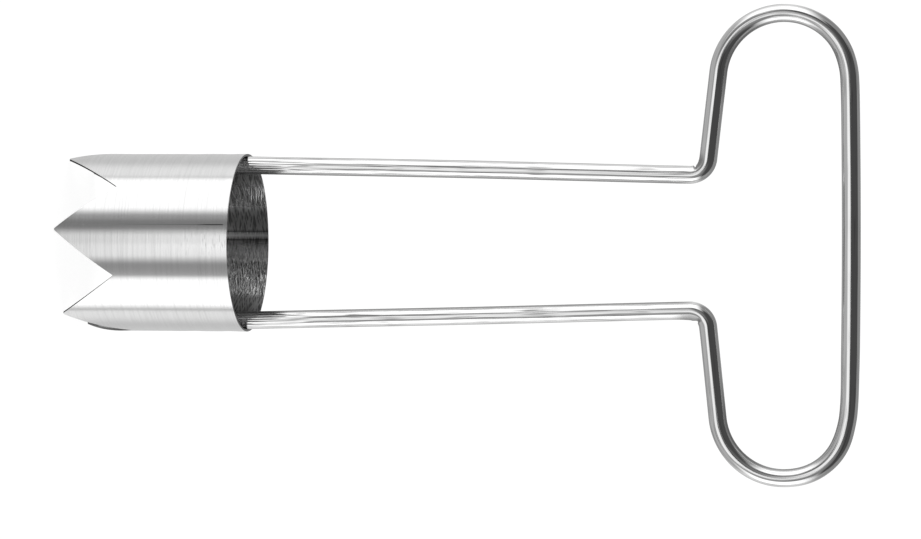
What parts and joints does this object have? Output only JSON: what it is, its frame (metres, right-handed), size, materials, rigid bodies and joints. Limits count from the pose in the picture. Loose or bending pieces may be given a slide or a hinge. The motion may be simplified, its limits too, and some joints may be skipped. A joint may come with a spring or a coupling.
{
  "type": "apple corer",
  "caption": "Push-and-twist apple corer: a short toothed tube of rolled steel sheet on a T-shaped handle bent from one round wire.",
  "frame": {"origin": "on the tube's axis, in the plane of the teeth's tips, where the tool stands", "axes": "+Z along the tube's axis from the teeth to the handle's bar; X across the handle, which lies in the XZ plane; Y along the tool's thin way, with the camera of the picture on the -Y side"},
  "size_m": [0.092, 0.035, 0.155],
  "materials": {
    "brushed_sheet": "brushed round the tube, satin",
    "polished_wire": "bright drawn and polished",
    "weld_metal": "fused, slightly dull"
  },
  "bodies": {
    "root": {"cutter_tube": "brushed_sheet", "seam_weld": "weld_metal", "handle_wire": "polished_wire", "left_outer_spot_weld": "weld_metal", "left_inner_spot_weld": "weld_metal", "right_outer_spot_weld": "weld_metal", "right_inner_spot_weld": "weld_metal"}
  },
  "joints": []
}
